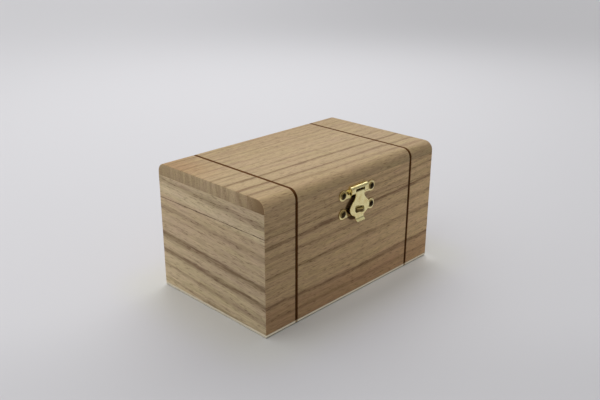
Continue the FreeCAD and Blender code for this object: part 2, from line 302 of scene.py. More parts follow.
def paintedTongueShade(tree, axes):
    shape = tongueShadeShape
    wide, narrow = (tongueShape[key] + shape["wider"] for key in ("bellyHalf", "neckHalf"))
    aside = apart(tree, axes["x"], haspX - shape["shift"])
    half = fade(tree, axes["z"], bellyZ, barrelZ - shape["shoulderDown"], wide, narrow)
    below = calc(tree, "MAXIMUM", minus(tree, bellyZ, axes["z"]), 0.0)
    below = calc(tree, "DIVIDE", below, shape["drop"])
    arc = calc(tree, "MAXIMUM", minus(tree, 1.0, calc(tree, "POWER", below, 2.0)), 0.0)
    arc = calc(tree, "SQRT", arc)
    edge = minus(tree, aside, times(tree, half, arc))
    out = minus(tree, -halfDepth, axes["y"])
    return times(tree, fadeOut(tree, edge, -shape["soft"], shape["soft"]),
                 fadeOut(tree, axes["z"], barrelZ - shape["topSoft"], barrelZ + shape["topSoft"]),
                 fade(tree, arc, *shape["foot"]),
                 fade(tree, out, *shape["depthFrom"]), fadeOut(tree, out, *shape["depthTo"]))


# Wood of one board. Growth rings lie round a pith line along the grain, so they run as lines on the faces and as
# arcs on the ends: distance from the pith, moved by slow and fine noise, picks the ground colour and the dark ring
# lines. Bands that follow the rings, fibres, a wandering hue and short open pores lie over it, and the board grows
# a little brighter or darker along the grain, partly its own tone and partly painted light. End grain is dirty in
# streaks, and darker towards one corner. The wood beside a kerf is stained by the dark strip, the joint under the
# lid is a ragged line of dirt and painted shade, and the front has painted shade under the closed tongue.
plainBoard = {"fan": 0.0, "toneAndLightDrift": 0.0, "lineRun": (0, 1, 1.0, 1.0),
              "endSoil": (0, 1, 0.3, 0.3), "cornerDarkening": (0, 1, 0.0, 0.0)}
woodBoards = {
    "front": {
        "grain": "x", "across": "z", "through": "y", "face": -halfDepth, "pith": (-70, -20), "seed": 3.1,
        "tilt": 0.006, "fan": 0.0006, "fanMiddle": 26, "drift": 2.2, "toneAndLightDrift": 0.0021,
        "lineRun": (-75, -25, 0.9, 1.0), "seam": 0.25, "stainReach": 0.6, "paintedTongueShade": (0.2, 0.15, 0.1),
        "ground": [(0, (0.485, 0.304, 0.16)), (15, (0.485, 0.306, 0.163)),
                   (23, (0.575, 0.4, 0.215)), (80, (0.57, 0.4, 0.217))],
        "lines": [(10.2, 2.6, 0.3), (19.6, 3.0, 0.64), (29.5, 2.0, 0.16), (39.2, 3.0, 0.42), (51.0, 2.6, 0.3),
                  (60.2, 2.8, 0.7), (66.4, 2.0, 0.34), (70.6, 2.0, 0.36), (75.0, 2.0, 0.3)],
        "dark": (0.17, 0.092, 0.045),
    },
    "back": {
        "grain": "x", "across": "z", "through": "y", "face": halfDepth, "pith": (-55, 15), "seed": 11.7,
        "tilt": -0.02, "fan": 0.0006, "fanMiddle": 40, "drift": 3.2, "seam": 0.5, "stainReach": 0.6,
        "ground": [(0, (0.46, 0.32, 0.18)), (30, (0.5, 0.36, 0.205)),
                   (55, (0.48, 0.34, 0.195)), (80, (0.49, 0.355, 0.2))],
        "lines": [(6.5, 2.2, 0.4), (16.0, 2.8, 0.7), (24.5, 2.2, 0.35), (33.0, 3.0, 0.6), (43.0, 2.2, 0.35),
                  (52.5, 2.8, 0.6), (59.0, 2.0, 0.3), (66.5, 2.4, 0.5), (73.5, 2.0, 0.35)],
        "dark": (0.18, 0.105, 0.054),
    },
    "left": {
        "grain": "y", "across": "z", "through": "x", "face": -halfLength, "pith": (-70, -45), "seed": 5.3,
        "tilt": 0.066, "fanMiddle": 30, "drift": 1.5, "toneAndLightDrift": 0.0022, "seam": 0.9,
        "ground": [(0, (0.57, 0.455, 0.285)), (34, (0.495, 0.38, 0.238)), (62, (0.52, 0.395, 0.244)),
                   (65.5, (0.585, 0.47, 0.3)), (71, (0.58, 0.46, 0.292)), (80, (0.49, 0.38, 0.236))],
        "lines": [(3.6, 1.6, 0.5), (13.0, 3.2, 0.42), (24.0, 4.2, 0.72), (35.8, 4.4, 0.82),
                  (43.5, 2.0, 0.14), (54.2, 3.4, 0.34), (61.5, 2.0, 0.14), (73.4, 4.2, 0.5)],
        "dark": (0.185, 0.118, 0.064),
    },
    "right": {
        "grain": "y", "across": "z", "through": "x", "face": halfLength, "pith": (-60, 30), "seed": 17.9,
        "tilt": -0.05, "fanMiddle": 30, "drift": 2.4, "seam": 0.8,
        "ground": [(0, (0.49, 0.37, 0.23)), (28, (0.47, 0.35, 0.215)),
                   (50, (0.51, 0.39, 0.24)), (80, (0.49, 0.37, 0.23))],
        "lines": [(8.0, 2.8, 0.5), (18.5, 3.6, 0.75), (27.5, 2.4, 0.3), (37.0, 3.6, 0.7), (46.5, 2.4, 0.35),
                  (55.5, 3.0, 0.5), (64.0, 2.4, 0.3), (72.0, 3.0, 0.5)],
        "dark": (0.185, 0.118, 0.064),
    },
    "top": {
        "grain": "x", "across": "y", "through": "z", "face": lidTop, "pith": (-62, 96), "seed": 8.4,
        "tilt": 0.0, "fan": 0.0006, "fanMiddle": 10, "drift": 1.4, "toneAndLightDrift": -0.0006,
        "lineRun": (-80, 10, 1.4, 0.95), "stainReach": 0.35,
        "endSoil": (-46, -22, 0.75, 0.3), "cornerDarkening": (-49, -27, 0.95, 0.0),
        "blush": (0.95, 0.86, 0.78), "blushAlong": (-50, -76), "blushAcross": (-10, 30),
        "ground": [(-49, (0.43, 0.304, 0.162)), (-30, (0.46, 0.336, 0.192)),
                   (0, (0.465, 0.34, 0.196)), (49, (0.435, 0.31, 0.172))],
        "lines": [(-38.2, 2.6, 0.5), (-29.0, 2.8, 0.72), (-16.6, 2.8, 0.66), (-3.8, 2.4, 0.42), (4.0, 2.0, 0.2),
                  (12.5, 2.2, 0.28), (19.5, 2.0, 0.24), (25.5, 2.0, 0.26), (32.5, 2.0, 0.28), (41.0, 2.4, 0.3)],
        "dark": (0.2, 0.122, 0.058),
    },
}
# Size of the grain along, across and through the board, detail, roughness and step of the seed
woodNoises = {
    "slow": ((95, 30, 30), 1.0, 0.4, 0), "fine": ((12, 1.3, 1.3), 2.0, 0.55, 0),
    "band": ((150, 1.7, 60), 3.0, 0.6, 4), "fibre": ((9, 0.75, 0.75), 4.0, 0.75, 9),
    "pore": ((4.5, 0.55, 0.55), 1.0, 0.5, 15), "broken": ((22, 1.4, 1.4), 3.0, 0.65, 21),
    "hue": ((28, 4.5, 4.5), 3.0, 0.65, 27), "streak": ((400, 2.4, 40), 3.0, 0.7, 30),
    "ragged": ((2.2, 2.2, 2.2), 2.0, 0.6, 33),
}
woodFinish = {
    "lineMove": 3.0, "lineTail": 0.6, "lineMargin": 4, "lineBreaks": (0.25, 0.65, 0.5, 1.15), "darkest": 0.95,
    "bands": 0.24, "bandLimits": (0.42, 0.75), "pores": 0.52, "poreLimits": (0.58, 0.7), "fibre": 0.95, "hue": 0.14,
    "endLimits": (0.6, 0.9), "endLines": 0.45, "endTone": (0.96, 0.995, 1.02), "endStreaks": (0.4, 0.65),
    "stain": (0.32, 0.2, 0.12), "stainGap": 0.25, "stainMove": 0.5, "stainDepth": (2.0, 2.5),
    "seam": (0.12, 0.07, 0.04), "seamWidth": (0.5, 0.75, 0.32, 0.75), "seamEdge": (0.5, 1.0),
    "seamBreaks": (0.3, 0.55, 0.35, 1.0), "seamDepth": (0.3, 0.7),
    "roughness": 0.55, "roughFibre": 0.25, "specular": 0.12,
    "lineRelief": 0.25, "fibreRelief": 0.6, "poreRelief": -0.6, "bump": (0.5, 0.0002),
}


# Ground colour and strength of the dark lines at a distance from the pith. A spot on the board's face counts at its
# own distance; a line grows from nothing to its strength over its width, and is gone sooner on the far side.
def ringColours(tree, board, ring):
    pithAcross, pithThrough = board["pith"]
    reach = lambda spot: math.hypot(spot - pithAcross, board["face"] - pithThrough)
    low = reach(board["ground"][0][0]) - woodFinish["lineMargin"]
    span = reach(board["ground"][-1][0]) + woodFinish["lineMargin"] - low
    share = calc(tree, "DIVIDE", minus(tree, ring, low), span)
    stops = []
    for spot, width, strength in board["lines"]:
        middle = reach(spot)
        stops += [(middle - width, 0.0), (middle, strength), (middle + width * woodFinish["lineTail"], 0.0)]
    dark = ramp(tree, share, [((place - low) / span, strength) for place, strength in stops], "EASE")
    ground = ramp(tree, share, [((reach(spot) - low) / span, colour) for spot, colour in board["ground"]])
    return ground, dark


# Stain beside the kerfs: full at the kerf's edge and gone at its reach, near the outer faces only
def kerfStain(tree, board, axes, fine):
    edge = kerfWidth / 2 + woodFinish["stainGap"]
    beside = apart(tree, calc(tree, "ABSOLUTE", axes["x"]), inlayX)
    beside = plus(tree, beside, fine, woodFinish["stainMove"])
    fromFace = minus(tree, halfDepth, calc(tree, "ABSOLUTE", axes["y"]))
    depth = calc(tree, "MINIMUM", fromFace, minus(tree, lidTop, axes["z"]))
    return times(tree, fadeOut(tree, beside, edge, edge + board["stainReach"]),
                 fadeOut(tree, depth, *woodFinish["stainDepth"]))


# Line of dirt and painted shade along the lid's joint: distance from the joint over a ragged width, broken up along
# its length
def jointDirtAndShade(tree, board, height, depth, ragged, broken):
    wide = fade(tree, ragged, *woodFinish["seamWidth"])
    near = calc(tree, "DIVIDE", apart(tree, height, hingeZ), wide)
    return times(tree, fadeOut(tree, near, *woodFinish["seamEdge"]), fade(tree, broken, *woodFinish["seamBreaks"]),
                 fade(tree, depth, *woodFinish["seamDepth"], board["seam"], 0.0))


# All of these laid over one another for one board, from the rings out to the marks on its face
def woodMaterial(name, board):
    material, tree, shader, axes = newMaterial(name)
    board, finish = {**plainBoard, **board}, woodFinish
    along, across, through = (axes[board[key]] for key in ("grain", "across", "through"))

    # One of the board's noises, on its coordinate along the grain, another one and its depth
    def noise(kind, second):
        sizes, detail, rough, step = woodNoises[kind]
        return grainNoise(tree, (along, second, through), sizes, detail, rough, board["seed"] + step)

    slow, fine = noise("slow", across), noise("fine", across)
    spread = minus(tree, 1.0, times(tree, along, board["fan"]))
    level = plus(tree, board["fanMiddle"], minus(tree, across, board["fanMiddle"]), spread)
    level = plus(tree, level, along, -board["tilt"])
    level = plus(tree, level, swing(tree, slow), board["drift"] * 2)
    ring = distance(tree, minus(tree, level, board["pith"][0]), minus(tree, through, board["pith"][1]))
    ground, dark = ringColours(tree, board, plus(tree, ring, swing(tree, fine), finish["lineMove"]))
    band = noise("band", ring)
    fibre, pore, broken, hue = (noise(kind, level) for kind in ("fibre", "pore", "broken", "hue"))
    pore = fade(tree, pore, *finish["poreLimits"])
    endFace = facing(tree, board["grain"], *finish["endLimits"])

    dark = times(tree, dark, fade(tree, broken, *finish["lineBreaks"]), fade(tree, along, *board["lineRun"]),
                 fade(tree, endFace, 0.0, 1.0, 1.0, finish["endLines"]))
    dark = plus(tree, dark, fade(tree, band, *finish["bandLimits"]), finish["bands"])
    dark = plus(tree, dark, pore, finish["pores"])
    colour = cover(tree, calc(tree, "MINIMUM", dark, finish["darkest"]), ground, board["dark"])
    shade = plus(tree, 1.0, swing(tree, fibre), finish["fibre"])
    # Brighter or darker along the grain: partly the wood's own tone, partly painted light
    shade = plus(tree, shade, along, board["toneAndLightDrift"])
    green, blue = (times(tree, shade, plus(tree, 1.0, swing(tree, hue), way * finish["hue"])) for way in (-1, 1))
    tone = addNode(tree, "ShaderNodeCombineXYZ", {"X": shade, "Y": green, "Z": blue}).outputs[0]
    colour = tint(tree, 1.0, colour, tone)
    if "blush" in board:
        blush = times(tree, fade(tree, along, *board["blushAlong"]), fade(tree, across, *board["blushAcross"]),
                      fadeOut(tree, endFace, 0.0, 1.0))
        colour = tint(tree, blush, colour, board["blush"])
    if "stainReach" in board:
        colour = tint(tree, kerfStain(tree, board, axes, fine), colour, finish["stain"])

    streak = fade(tree, noise("streak", across), *finish["endStreaks"])
    streak = times(tree, streak, fade(tree, across, *board["endSoil"]))
    # End grain darker towards one corner
    soil = calc(tree, "MAXIMUM", streak, fade(tree, across, *board["cornerDarkening"]))
    endColour = cover(tree, soil, tint(tree, 1.0, colour, finish["endTone"]), board["dark"])
    colour = cover(tree, endFace, colour, endColour)
    # Dirt and painted shade along the lid's joint
    if "seam" in board:
        depth = apart(tree, through, board["face"])
        seam = jointDirtAndShade(tree, board, axes["z"], depth, noise("ragged", axes["z"]), broken)
        colour = cover(tree, seam, colour, finish["seam"])
    # Painted shade under the closed tongue
    if "paintedTongueShade" in board:
        colour = tint(tree, paintedTongueShade(tree, axes), colour, board["paintedTongueShade"])

    relief = plus(tree, times(tree, dark, finish["lineRelief"]), fibre, finish["fibreRelief"])
    relief = plus(tree, relief, pore, finish["poreRelief"])
    roughness = plus(tree, finish["roughness"], fibre, finish["roughFibre"])
    joinShader(tree, shader, colour, roughness, relief, finish["bump"])
    shader.inputs["Specular IOR Level"].default_value = finish["specular"]
    return material


woods = {side: woodMaterial(side + "BoardWood", board) for side, board in woodBoards.items()}
print("wood mixed for", len(woods), "boards")


# Dark strip wood: dark brown with fine paler fibres, and painted shade on the upright faces
inlayLook = {"colour": (0.08, 0.03, 0.007), "pale": (0.16, 0.068, 0.02), "paleLimits": (0.35, 0.75),
             "upright": (0.6, 0.6, 0.5), "uprightLimits": (0.5, 0.9), "fibre": ((0.3, 4, 4), 3.0, 0.6),
             "roughness": 0.7, "roughFibre": 0.3, "specular": 0.04, "bump": (0.3, 0.0001)}


def inlayMaterial():
    look = inlayLook
    material, tree, shader, axes = newMaterial("darkInlayWood")
    fibre = grainNoise(tree, axes.values(), *look["fibre"])
    colour = cover(tree, fade(tree, fibre, *look["paleLimits"]), look["colour"], look["pale"])
    # Painted shade on the upright faces, as in a recessed groove
    colour = tint(tree, facing(tree, "y", *look["uprightLimits"]), colour, look["upright"])
    roughness = plus(tree, look["roughness"], fibre, look["roughFibre"])
    joinShader(tree, shader, colour, roughness, fibre, look["bump"])
    shader.inputs["Specular IOR Level"].default_value = look["specular"]
    return material


# Thin plywood: pale face plies with straight fibres, and between them a slightly darker core ply with fibres the
# other way. The front and back edges are sawn and paler, partly their own colour and partly painted light, and are
# darkened by painted shade along their foot and under each strip.
plyLook = {"face": (0.72, 0.66, 0.52), "faceLine": (0.6, 0.52, 0.4), "core": (0.64, 0.57, 0.44),
           "coreLine": (0.52, 0.44, 0.32), "lineLimits": (0.4, 0.8), "coreRise": (0.66, 1.34),
           "sawnAndLit": (0.92, 0.84, 0.66), "sawnLimits": (0.3, 0.6), "paintedFootShade": (0.34, 0.31, 0.27),
           "soiledRise": (0.45, 0.85), "stripShade": (0.42, 0.32, 0.2), "stripReach": (0.7, 1.3),
           "lengthways": ((40, 0.9, 0.9), 3.0, 0.6), "crossways": ((0.9, 40, 0.9), 3.0, 0.6, 7),
           "roughness": 0.5, "roughFibre": 0.2, "bump": (0.3, 0.0001)}


def plyMaterial():
    look = plyLook
    material, tree, shader, axes = newMaterial("palePlywood")
    lengthways, crossways = (grainNoise(tree, axes.values(), *look[key]) for key in ("lengthways", "crossways"))
    face = cover(tree, fade(tree, lengthways, *look["lineLimits"]), look["face"], look["faceLine"])
    core = cover(tree, fade(tree, crossways, *look["lineLimits"]), look["core"], look["coreLine"])
    low, high = look["coreRise"]
    inCore = times(tree, calc(tree, "GREATER_THAN", axes["z"], low), calc(tree, "LESS_THAN", axes["z"], high))
    # Front and back edges: paler sawn wood, partly painted light
    sawnAndLit = facing(tree, "y", *look["sawnLimits"])
    colour = cover(tree, sawnAndLit, cover(tree, inCore, face, core), look["sawnAndLit"])
    # Painted shade along the foot of the edges
    paintedFootShade = times(tree, fadeOut(tree, axes["z"], *look["soiledRise"]), sawnAndLit)
    colour = tint(tree, paintedFootShade, colour, look["paintedFootShade"])
    # Painted shade on the edges under each strip
    beside = apart(tree, calc(tree, "ABSOLUTE", axes["x"]), inlayX)
    foot = times(tree, fadeOut(tree, beside, *look["stripReach"]), sawnAndLit)
    colour = tint(tree, foot, colour, look["stripShade"])
    roughness = plus(tree, look["roughness"], lengthways, look["roughFibre"])
    joinShader(tree, shader, colour, roughness, lengthways, look["bump"])
    return material


# Brass: fine rubbing marks one way, cloudy dulling, a browner tone where it is dull, and painted shade under the
# closed tongue. Polished plates have painted shade in the slit over the tongue's roll and shaded ears, dark nail
# heads have a painted highlight on their rim, and the lug is dark brass standing for painted shade, with a painted
# highlight on its tip and top.
brassFinish = {"cloud": ((3.5, 3.5, 3.5), 4.0, 0.6), "marks": ((0.12, 2.5, 2.5), 2.0, 0.5, 3),
               "dullLimits": (0.4, 0.75), "paintedTongueShade": (0.22, 0.16, 0.1), "roughDull": 0.14, "roughMarks": 0.1,
               "marksRelief": 0.35, "bump": (0.12, 0.0001)}
brassLooks = {
    "polishedBrass": {"bright": (0.97, 0.87, 0.45), "dull": (0.82, 0.65, 0.28), "roughness": 0.14,
                      # slit: colour of the painted shade in the slit over the tongue's roll
                      "slit": (0.1, 0.07, 0.04), "slitHalf": (4.2, 4.35), "slitLow": (0.4, 0.8),
                      "slitHigh": (2.25, 2.35), "earShade": (0.45, 0.38, 0.3), "earRise": (-2.0, 0.8),
                      "earFrom": (10.0, 11.0), "earSides": (-5.0, 5.0, 1.0, 0.3)},
    "agedBrass": {"bright": (0.5, 0.37, 0.16), "dull": (0.3, 0.2, 0.09), "roughness": 0.24},
    "darkBrass": {"bright": (0.05, 0.032, 0.012), "dull": (0.012, 0.008, 0.004), "roughness": 0.14,
                  # rim: colour of the painted highlight round each nail head
                  "rim": (0.5, 0.38, 0.15), "rimReach": (1.6, 2.7)},
    # Lug: dark brass standing for painted shade, with a painted highlight on its tip and top
    "shadedLugBrass": {"bright": (0.2, 0.14, 0.05), "dull": (0.1, 0.065, 0.025), "roughness": 0.22,
                 "rubbed": (0.4, 0.32, 0.14), "rubbedOut": (5.8, 6.1), "rubbedUp": (-10.8, -10.55)},
}


# Painted shade in the slit over the roll, under the bridge: between the window's sides, from just over the pin's
# line up to the bridge
def slitShade(tree, axes, look):
    rise = minus(tree, axes["z"], barrelZ)
    return times(tree, fadeOut(tree, apart(tree, axes["x"], haspX), *look["slitHalf"]),
                 fade(tree, rise, *look["slitLow"]), fadeOut(tree, rise, *look["slitHigh"]))


# Shade of the ears on the front: grows with the height over the nearer nail, and is fuller on the left
def earShading(tree, axes, look):
    upper = calc(tree, "GREATER_THAN", axes["z"], (earZ + catchZ) / 2)
    rise = minus(tree, axes["z"], plus(tree, catchZ, upper, earZ - catchZ))
    return times(tree, fade(tree, rise, *look["earRise"]),
                 fade(tree, apart(tree, axes["x"], haspX), *look["earFrom"]),
                 calc(tree, "LESS_THAN", axes["y"], 0.0), fade(tree, axes["x"], *look["earSides"]))


# Painted highlight on the rim of a nail head: grows with the distance from the middle of the nearest head
def headRimHighlight(tree, axes, look):
    aside = minus(tree, apart(tree, axes["x"], haspX), haspShape["earSpread"])
    rise = calc(tree, "MINIMUM", apart(tree, axes["z"], earZ), apart(tree, axes["z"], catchZ))
    return fade(tree, distance(tree, aside, rise), *look["rimReach"])


# Painted highlight on the lug: its tip, furthest out, and its top
def paintedLugHighlight(tree, axes, look):
    out, up = minus(tree, -halfDepth, axes["y"]), minus(tree, axes["z"], barrelZ)
    return calc(tree, "MAXIMUM", fade(tree, out, *look["rubbedOut"]), fade(tree, up, *look["rubbedUp"]))


# Bright and dull brass mixed by the cloudy noise, then the painted shade under the tongue, and the marks, painted
# shade and painted highlights of this kind of brass in turn
def brassMaterial(name):
    look, finish = brassLooks[name], brassFinish
    material, tree, shader, axes = newMaterial(name)
    cloud, marks = (grainNoise(tree, axes.values(), *finish[key]) for key in ("cloud", "marks"))
    dull = fade(tree, cloud, *finish["dullLimits"])
    colour = cover(tree, dull, look["bright"], look["dull"])
    # Painted shade under the closed tongue
    colour = tint(tree, paintedTongueShade(tree, axes), colour, finish["paintedTongueShade"])
    for key, place, lay in (("slit", slitShade, tint), ("earShade", earShading, tint),
                            ("rim", headRimHighlight, cover), ("rubbed", paintedLugHighlight, cover)):
        if key in look:
            colour = lay(tree, place(tree, axes, look), colour, look[key])
    roughness = plus(tree, look["roughness"], dull, finish["roughDull"])
    roughness = plus(tree, roughness, marks, finish["roughMarks"])
    joinShader(tree, shader, colour, roughness, plus(tree, cloud, marks, finish["marksRelief"]), finish["bump"])
    shader.inputs["Metallic"].default_value = 1.0
    return material


inlayWood, plywood = inlayMaterial(), plyMaterial()
brass, agedBrass, darkBrass, shadedLugBrass = (brassMaterial(name) for name in brassLooks)
print("inlay, plywood and brass mixed")


# Boards of the walls and the lid's rails, mitred at their ends, with kerfs in the long ones
boardShape = {"rimEase": 0.15, "cornerEase": 0.55, "cornerWear": 0.18, "cornerWave": 40, "endRun": 9.0, "step": 4.0,
              "endShares": (0.2, 0.4, 0.6, 0.75, 0.8, 0.85, 0.9, 0.95, 1.0), "turnFrom": 0.75,
              "kerfDepth": 2.0, "kerfSlope": 0.01, "kerfClear": 1.0, "lipFrom": 0.4, "lipEase": 0.09, "lipDrop": 0.7,
              "lipWaver": 0.07, "lipWave": 9}


# Places along a board, how deep the outer face is cut there, and the side of the kerf whose lip wavers: even steps,
# and eight places at each kerf
def boardStations(reach, kerfs):
    shape = boardShape
    even = np.linspace(-reach, reach, int(2 * reach / shape["step"]) + 1)
    half, ease, deep = kerfWidth / 2, shape["lipEase"], shape["kerfDepth"]
    right = half + np.array([-shape["kerfSlope"], 0, ease, shape["lipFrom"]])
    cut = np.concatenate([-right[::-1], right])
    dip = ease * shape["lipDrop"]
    sunk = np.array([0, 0, dip, deep, deep, dip, 0, 0])
    lip = np.array([0, -1, -1, -1, 1, 1, 1, 0])
    for spot in kerfs:
        even = even[np.abs(even - spot) > half + shape["kerfClear"]]
    spots = np.concatenate([even] + [spot + cut for spot in kerfs])
    sinks = np.concatenate([0 * even] + [sunk] * len(kerfs))
    lips = np.concatenate([0 * even] + [lip] * len(kerfs))
    order = np.argsort(spots)
    return spots[order], sinks[order], lips[order]


# Mitred board: a rounded rectangle in depth and height is carried along the board. Near each end the run at a given
# depth stops on the mitre's slanting plane, and the outer face turns the corner on an arc.
def mitredBoard(side, low, high, kerfs, seed):
    shape = boardShape
    half = halfLength if side in ("front", "back") else halfDepth
    tall = max(4, int((high - low) / shape["step"]))
    corners = [(0, low), (wall, low), (wall, high), (0, high)]
    depth, height = roundedLoop(corners, [shape["rimEase"]] * 4, [3] * 4, [3, tall, 3, tall]).T
    corner = shape["cornerEase"] + waver(height, seed, shape["cornerWave"], shape["cornerWear"])
    inner = half - shape["endRun"]
    spots, sinks, lips = boardStations(inner, kerfs)
    waves = sum(waver(height, seed + step, shape["lipWave"], shape["lipWaver"]) * (lips == way)[:, None]
                for step, way in ((1, -1), (2, 1)))
    alongMiddle = spots[:, None] + waves * (depth < shape["kerfDepth"])
    deepMiddle = np.maximum(depth, sinks[:, None])
    share, turnFrom = np.array(shape["endShares"])[:, None], shape["turnFrom"]
    straight = np.clip(share / turnFrom, 0, 1)
    turn = np.clip((share - turnFrom) / (1 - turnFrom), 0, 1) * np.pi / 4
    arc, shallow = np.maximum(corner - depth, 0), depth < corner
    alongArc = inner + (half - corner - inner) * straight + arc * np.sin(turn)
    alongEnd = np.where(shallow, alongArc, inner + (half - depth - inner) * share)
    deepEnd = np.where(shallow, corner - arc * np.cos(turn), depth)
    along = np.concatenate([-alongEnd[::-1], alongMiddle, alongEnd])
    deep = np.concatenate([deepEnd[::-1], deepMiddle, deepEnd])
    x, y = {"front": (along, deep - halfDepth), "back": (-along, halfDepth - deep),
            "left": (deep - halfLength, -along), "right": (halfLength - deep, along)}[side]
    return closedRun(np.stack([x, y, height + 0 * along], -1))


for k, side in enumerate(("front", "back", "left", "right")):
    kerfs = (-inlayX, inlayX) if side in ("front", "back") else ()
    wallSkin = mitredBoard(side, panelTop, bodyTop, kerfs, 20 + k)
    railSkin = mitredBoard(side, railLow, railTop, kerfs, 40 + k)
    makePiece(side + "Wall", [wallSkin], "box_body", "body_" + side + "_wall", [woods[side]])
    makePiece(side + "Rail", [railSkin], "lid", "lid_" + side + "_rail", [woods[side]])
print("walls and rails built")


# Top board, over the rails
lidShape = {"topRound": 6.2, "footRound": 0.12, "leastRound": 0.1, "endEase": 0.55, "endMargin": 1.0, "endSteps": 5}


# Section set in by a distance from its sides and its top: two small corners below, two well rounded ones above
def lidLoop(inset):
    half, crown = halfDepth - inset, lidTop - inset
    foot, bend = lidShape["footRound"], max(lidShape["topRound"] - inset, lidShape["leastRound"])
    corners = [(-half, railTop), (half, railTop), (half, crown), (-half, crown)]
    return roundedLoop(corners, [foot, foot, bend, bend], [3, 3, 12, 12], [24, 2, 24, 2])


# The section is carried along the length. Set in by some distance it has the same points, so the kerfs and the
# eased ends are the same loop moved inwards.
def topBoard():
    ease, deep = lidShape["endEase"], boardShape["kerfDepth"]
    spots, sinks = boardStations(halfLength - ease - lidShape["endMargin"], (-inlayX, inlayX))[:2]
    turn = np.linspace(0, np.pi / 2, lidShape["endSteps"] + 1)
    endSpots, endSinks = halfLength - ease + ease * np.sin(turn), ease * (1 - np.cos(turn))
    x = np.concatenate([-endSpots[::-1], spots, endSpots])
    sink = np.concatenate([endSinks[::-1], sinks, endSinks])
    section = lidLoop(0) + (lidLoop(deep) - lidLoop(0)) * (sink / deep)[:, None, None]
    run = np.broadcast_to(x[:, None, None], section.shape[:2] + (1,))
    return closedRun(np.concatenate([run, section], -1))


makePiece("topBoard", [topBoard()], "lid", "lid_top_board", [woods["top"]])

# Inlay strip: a small rounded rectangle across the kerf and into the wood, carried along the kerf
stripShape = {"slack": 0.01, "edgeEase": 0.12, "footEase": 0.02, "unevenness": 0.06, "wave": 14, "lidRun": 140,
              "wallSteps": 30, "riseSteps": 12, "bendSteps": 14, "topSteps": 40}


# Line up the front of the lid, over its two rounded edges and down the back, set in by some distance
def overLid(inset):
    half, crown = halfDepth - inset, lidTop - inset
    bend = lidShape["topRound"] - inset
    turn = np.linspace(0, np.pi / 2, stripShape["bendSteps"])[:, None]
    rise = np.linspace(railLow, crown - bend, stripShape["riseSteps"])[:-1]
    front = np.stack([0 * rise - half, rise], -1)
    arc = bend * np.concatenate([-np.cos(turn), np.sin(turn)], -1)
    bendUp = np.array([bend - half, crown - bend]) + arc
    flat = np.linspace(bend - half, half - bend, stripShape["topSteps"])[1:-1]
    middle = np.stack([flat, 0 * flat + crown], -1)
    mirror = np.array([-1, 1])
    return np.concatenate([front, bendUp, middle, bendUp[::-1] * mirror, front[::-1] * mirror])


# Section of a strip: half the kerf's width less a little slack to each side, from the recess to the kerf's floor
def stripSection():
    half, deep = kerfWidth / 2 - stripShape["slack"], boardShape["kerfDepth"]
    edge, foot = stripShape["edgeEase"], stripShape["footEase"]
    corners = [(-half, recess), (half, recess), (half, deep), (-half, deep)]
    return roundedLoop(corners, [edge, edge, foot, foot], [3, 3, 1, 1], [4, 2, 2, 2])


# Share of the way from the recess to the kerf's floor, a little uneven along the strip's outer face
def stripDepth(section, run, seed):
    share = (section[:, 1] - recess) / (boardShape["kerfDepth"] - recess)
    dip = np.abs(waver(run, seed, stripShape["wave"], stripShape["unevenness"]))
    return share[None, :] + (1 - share[None, :]) * dip[:, None]


# Strip over the lid: each point lies by its share between the line at the recess and the line at the kerf's floor
def lidStrip(x, seed):
    section = stripSection()
    outer, inner = overLid(recess), overLid(boardShape["kerfDepth"])
    share = stripDepth(section, np.linspace(0, stripShape["lidRun"], len(outer)), seed)[..., None]
    line = outer[:, None, :] + (inner - outer)[:, None, :] * share
    across = np.broadcast_to((x + section[:, 0])[None, :, None], line.shape[:2] + (1,))
    return closedRun(np.concatenate([across, line], -1))


# Strip in a wall: the section carried straight up from the panel to the top of the wall
def wallStrip(x, face, seed):
    section = stripSection()
    height = np.linspace(panelTop, bodyTop, stripShape["wallSteps"])
    share = stripDepth(section, height, seed)
    deep = halfDepth - recess - (boardShape["kerfDepth"] - recess) * share
    return closedRun(np.stack([x + section[:, 0] + 0 * deep, face * deep, height[:, None] + 0 * deep], -1))


for k, (end, x) in enumerate((("left", -inlayX), ("right", inlayX))):
    makePiece(end + "LidStrip", [lidStrip(x, 60 + k)], "lid", "lid_inlay_" + end, [inlayWood])
    for side, face in (("front", -1), ("back", 1)):
        name, standsFor = side + end.capitalize() + "Strip", "body_inlay_" + side + "_" + end
        makePiece(name, [wallStrip(x, face, 70 + k)], "box_body", standsFor, [inlayWood])
print("top board and inlay strips built")


